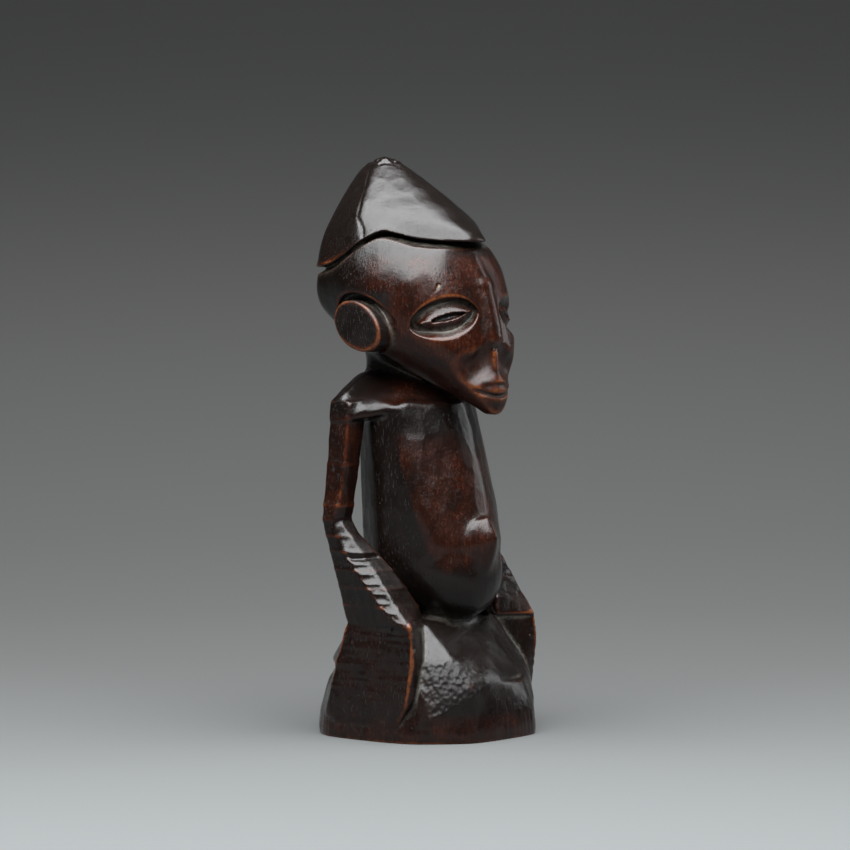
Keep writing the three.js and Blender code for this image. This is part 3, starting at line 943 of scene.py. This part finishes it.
class Tree:
    """A short way to write shader nodes."""

    def __init__(self, material):
        material.use_nodes = True
        self.nodes = material.node_tree.nodes
        self.links = material.node_tree.links
        self.shader = self.nodes["Principled BSDF"]

    def set(self, socket, value):
        if isinstance(value, bpy.types.NodeSocket):
            self.links.new(value, socket)
        else:
            socket.default_value = value

    def attribute(self, name):
        node = self.nodes.new("ShaderNodeAttribute")
        node.attribute_name = name
        return node.outputs["Fac"]

    def math(self, operation, a, b=0.0, clamp=False):
        node = self.nodes.new("ShaderNodeMath")
        node.operation = operation
        node.use_clamp = clamp
        self.set(node.inputs[0], a)
        self.set(node.inputs[1], b)
        return node.outputs[0]

    def place(self, scale):
        """Object coordinates in millimetres, stretched."""
        coords = self.nodes.new("ShaderNodeTexCoord")
        node = self.nodes.new("ShaderNodeVectorMath")
        node.operation = "MULTIPLY"
        self.set(node.inputs[0], coords.outputs["Object"])
        self.set(node.inputs[1], tuple(v / MM for v in scale))
        return node.outputs[0]

    def noise(self, place, scale, detail=2.0, roughness=0.5):
        node = self.nodes.new("ShaderNodeTexNoise")
        self.set(node.inputs["Vector"], place)
        self.set(node.inputs["Scale"], scale)
        self.set(node.inputs["Detail"], detail)
        self.set(node.inputs["Roughness"], roughness)
        return node.outputs["Fac"]

    def cells(self, place, scale):
        node = self.nodes.new("ShaderNodeTexVoronoi")
        self.set(node.inputs["Vector"], place)
        self.set(node.inputs["Scale"], scale)
        return node.outputs["Distance"], node.outputs["Color"]

    def span(self, value, low, high, to_low=0.0, to_high=1.0):
        node = self.nodes.new("ShaderNodeMapRange")
        node.interpolation_type = "SMOOTHSTEP"
        for socket, v in zip(node.inputs, (value, low, high, to_low, to_high)):
            self.set(socket, v)
        return node.outputs[0]

    def mix(self, factor, a, b):
        node = self.nodes.new("ShaderNodeMix")
        node.data_type = "RGBA"
        self.set(node.inputs["Factor"], factor)
        self.set(node.inputs[6], a)
        self.set(node.inputs[7], b)
        return node.outputs[2]

    def bump(self, height, strength, distance):
        node = self.nodes.new("ShaderNodeBump")
        self.set(node.inputs["Strength"], strength)
        self.set(node.inputs["Distance"], distance * MM)
        self.set(node.inputs["Height"], height)
        return node.outputs["Normal"]


BLACK_BROWN = (0.0030, 0.0022, 0.0018, 1)
DEEP_RED = (0.0125, 0.0028, 0.0013, 1)
BRIGHT_RED = (0.046, 0.0098, 0.0026, 1)
ORANGE_WOOD = (0.095, 0.027, 0.0075, 1)
PALE_DIRT = (0.052, 0.047, 0.038, 1)
SPECK = (0.17, 0.13, 0.08, 1)
# near-black of pores and cracks, also used for the painted shade in the eye slits
CRACK_PORE_AND_SLIT_SHADE_DARK = (0.002, 0.0015, 0.001, 1)


WOOD_IOR = 1.32
COAT_WEIGHT = 0.1


def aged_wood(name):
    """Dark oiled hardwood: red where handled, orange on worn edges, pale dirt in the creases."""
    material = bpy.data.materials.new(name)
    t = Tree(material)
    plain = t.place((1, 1, 1))
    upright = t.place((1, 1, 0.07))
    wear = t.attribute("wear")
    dirt = t.attribute("dirt")
    red = t.attribute("red")
    rough = t.attribute("rough")
    mottle = t.noise(plain, 0.11, 5.0, 0.62)
    speckle = t.noise(plain, 0.75, 4.0, 0.65)
    grain = t.noise(upright, 1.5, 4.0, 0.6)
    pores = t.span(t.noise(upright, 4.2, 2.0), 0.62, 0.72)

    amount = t.math("MULTIPLY", red, t.span(mottle, 0.30, 0.62, 0.35, 1.15), clamp=True)
    colour = t.mix(amount, BLACK_BROWN, DEEP_RED)
    bright = t.math("MULTIPLY", t.math("MULTIPLY", amount, t.span(grain, 0.42, 0.70)),
                    t.span(speckle, 0.40, 0.62, 0.25, 1.0))
    colour = t.mix(t.math("MULTIPLY", bright, 0.8), colour, BRIGHT_RED)
    worn = t.math("MULTIPLY", wear, t.span(speckle, 0.34, 0.58, 0.35, 1.2), clamp=True)
    colour = t.mix(worn, colour, t.mix(t.span(wear, 0.3, 0.9), BRIGHT_RED, ORANGE_WOOD))
    dusty = t.math("MULTIPLY", dirt, t.span(speckle, 0.36, 0.60, 0.25, 1.0), clamp=True)
    colour = t.mix(dusty, colour, PALE_DIRT)
    colour = t.mix(t.math("MULTIPLY", pores, 0.4), colour, CRACK_PORE_AND_SLIT_SHADE_DARK)
    spots, tint = t.cells(plain, 0.16)
    chosen = t.span(tint, 0.80, 0.82)
    speck = t.math("MULTIPLY", t.span(spots, 0.045, 0.075, 1.0, 0.0), chosen)
    colour = t.mix(t.math("MULTIPLY", speck, 0.8), colour, SPECK)
    scar = t.span(t.attribute("scar"), 0.25, 0.7, 0.75, 0.0)
    colour = t.mix(scar, colour, SPECK)
    # dark cracks, and painted shade along the eye slits, which come in through the same attribute
    wander = t.math("MULTIPLY", t.math("SUBTRACT", speckle, 0.5), 1.4)
    crack_and_slit_shade = t.span(t.math("ADD", t.attribute("crack_and_slit_shade"), wander), 0.12, 0.36, 1.0, 0.0)
    colour = t.mix(crack_and_slit_shade, colour, CRACK_PORE_AND_SLIT_SHADE_DARK)
    t.set(t.shader.inputs["Base Color"], colour)

    shine = t.math("ADD", mottle, t.math("MULTIPLY", speckle, 0.5))
    shine = t.span(shine, 0.55, 0.95, 0.13, 0.27)
    shine = t.math("ADD", shine, t.math("MULTIPLY", rough, 0.36))
    shine = t.math("ADD", shine, t.math("MULTIPLY", pores, 0.12), clamp=True)
    t.set(t.shader.inputs["Roughness"], shine)
    t.set(t.shader.inputs["IOR"], WOOD_IOR)
    t.set(t.shader.inputs["Coat Weight"], COAT_WEIGHT)
    t.set(t.shader.inputs["Coat Roughness"], t.math("ADD", 0.12, t.math("MULTIPLY", rough, 0.45)))

    height = t.math("ADD", t.math("MULTIPLY", grain, 0.5), t.math("MULTIPLY", speckle, 0.35))
    height = t.math("SUBTRACT", height, t.math("MULTIPLY", pores, 0.35))
    height = t.math("SUBTRACT", height, crack_and_slit_shade)
    t.set(t.shader.inputs["Normal"], t.bump(height, 0.6, 0.34))
    return material


# ---- Building ------------------------------------------------------------------------------------

sculpt_base_and_seat()
sculpt_lap()
sculpt_arms()
sculpt_torso()
sculpt_shoulders_and_neck()
sculpt_skull()
sculpt_muzzle_and_nose()
carve_cheeks()
carve_eyes()
carve_mouth()
sculpt_ears()
sculpt_cap()
field = np.maximum(field, -AXES[2].reshape(1, 1, -1))
verts, quads = surface_nets()
verts = settle(verts, quads)
points, faces, middles, neighbours = cut_surface(verts, quads)
slopes = gradient(points)
slopes /= np.linalg.norm(slopes, axis=1)[:, None] + 1e-9
story = surface_story(points, slopes)
raised = points + slopes * tool_marks(points, slopes)[:, None]
raised[:, 2] = np.maximum(raised[:, 2], 0)

shell = bpy.data.meshes.new("shell")
shell.from_pydata(raised.tolist(), [], faces)
normals = np.zeros(len(raised) * 3, np.float32)
shell.vertex_normals.foreach_get("vector", normals)
normals = normals.reshape(-1, 3)
bpy.data.meshes.remove(shell)

names = smooth_owners(owners(middles), neighbours)
for slot, nodes in SLOTS.items():
    wood = aged_wood(slot)
    for node in nodes:
        mine = [face for face, name in zip(faces, names) if name == node]
        make_piece(node, wood, mine, raised, normals, story)

# ---- Floor, light and camera ------------------------------------------------------------------

SCENE = bpy.context.scene
AZIMUTH = math.radians(-50)  # of the camera, round the figure from its front
CAMERA_DISTANCE = 1.5
CAMERA_HEIGHT = 0.197
AIM_HEIGHT = 0.1215
LENS = 159.6
COOL_WHITE = (0.97, 0.985, 1.0)
SKY = (0.9, 0.95, 1.0, 1)
SKY_STRENGTH = 0.05


def area_light(name, place, target, size, power, colour):
    data = bpy.data.lights.new(name, "AREA")
    data.shape = "RECTANGLE"
    data.size, data.size_y = size
    data.energy = power
    data.color = colour
    lamp = bpy.data.objects.new(name, data)
    lamp.location = place
    lamp.rotation_euler = (Vector(target) - Vector(place)).to_track_quat("-Z", "Y").to_euler()
    SCENE.collection.objects.link(lamp)


def make_camera():
    axis = Vector((0, MIDDLE_Y * MM, 0))
    data = bpy.data.cameras.new("camera")
    data.lens = LENS
    data.sensor_width = 36
    data.shift_x = -0.0042
    data.shift_y = 0.0027
    camera = bpy.data.objects.new("camera", data)
    place = axis + Vector((math.sin(AZIMUTH) * CAMERA_DISTANCE,
                           -math.cos(AZIMUTH) * CAMERA_DISTANCE, CAMERA_HEIGHT))
    camera.location = place
    target = axis + Vector((0, 0, AIM_HEIGHT))
    camera.rotation_euler = (target - place).to_track_quat("-Z", "Y").to_euler()
    SCENE.collection.objects.link(camera)
    SCENE.camera = camera


# along the paper: distance behind the figure, height, and how pale the paper is there, painted
# darker towards the back and up the wall as painted shade where the light falls off
PAPER = [(-2.4, 0, 0.100), (-0.35, 0, 0.100), (-0.12, 0, 0.084), (0.0, 0, 0.066),
         (0.25, 0, 0.055), (0.55, 0, 0.059), (0.75, 0.03, 0.054), (0.90, 0.10, 0.040),
         (0.98, 0.20, 0.0190), (1.0, 0.32, 0.0040), (1.0, 0.5, 0.002), (1.0, 1.0, 0.002),
         (1.0, 2.4, 0.002)]


PAPER_ROWS = 260
PAPER_HALF_WIDTH = 3
SMOOTHING = 15  # rows that each row is averaged over


def make_paper():
    """A sweep of studio paper, flat under the figure and curving up behind it, with painted shade:
    its colour darkens towards the back and up the wall where the light falls off.
    """
    back = np.array([-math.sin(AZIMUTH), math.cos(AZIMUTH)])
    side = np.array([math.cos(AZIMUTH), math.sin(AZIMUTH)])
    middle = np.array([0, MIDDLE_Y * MM])
    line = np.array(PAPER)
    steps = np.linalg.norm(np.diff(line[:, :2], axis=0), axis=1)
    length = np.concatenate([[0], np.cumsum(steps)])
    fine = np.linspace(0, length[-1], PAPER_ROWS)
    rows = np.stack([np.interp(fine, length, line[:, k]) for k in range(3)], axis=1)
    kernel = np.hanning(SMOOTHING) / np.hanning(SMOOTHING).sum()
    curve = rows.copy()
    pad = SMOOTHING // 2
    for k in (0, 2):
        curve[:, k] = np.convolve(np.pad(rows[:, k], pad, "edge"), kernel, "valid")
    lifted = np.convolve(np.pad(rows[:, 1], pad, "edge"), kernel, "valid")
    curve[:, 1] = np.where(rows[:, 0] > 0.5, lifted, 0)
    points = []
    shade = []
    for distance, height, pale in curve:
        for across in (-PAPER_HALF_WIDTH, PAPER_HALF_WIDTH):
            x, y = middle + back * distance + side * across
            points.append((x, y, height))
            shade.append(pale)
    quads = [(2 * i, 2 * i + 1, 2 * i + 3, 2 * i + 2) for i in range(len(curve) - 1)]
    mesh = bpy.data.meshes.new("paper")
    mesh.from_pydata(points, [], quads)
    mesh.attributes.new("pale", "FLOAT", "POINT").data.foreach_set("value", shade)
    mesh.polygons.foreach_set("use_smooth", np.ones(len(quads), bool))
    paper = bpy.data.objects.new("paper", mesh)
    SCENE.collection.objects.link(paper)
    look = bpy.data.materials.new("paper")
    t = Tree(look)
    pale = t.attribute("pale")
    # painted shade: the paper's colour follows the pale values, darkest up the wall where the light
    # falls off, and turns warmer as it darkens
    tint = t.mix(t.span(pale, 0.02, 0.09), (1.0, 1.0, 0.96, 1), (0.945, 1.0, 1.0, 1))
    t.set(t.shader.inputs["Base Color"], t.mix(pale, (0, 0, 0, 1), tint))
    t.set(t.shader.inputs["Roughness"], 0.9)
    mesh.materials.append(look)


make_paper()
world = bpy.data.worlds.new("world")
SCENE.world = world
world.use_nodes = True
world.node_tree.nodes["Background"].inputs["Color"].default_value = SKY
world.node_tree.nodes["Background"].inputs["Strength"].default_value = SKY_STRENGTH
area_light("overhead", (-0.3, -0.22, 1.02), (0, 0, 0.1), (1.35, 1.35), 80, COOL_WHITE)
area_light("right", (1.2, -0.5, 0.55), (0, 0, 0.1), (0.25, 0.8), 2.5, COOL_WHITE)
make_camera()
SCENE.view_settings.view_transform = "Standard"
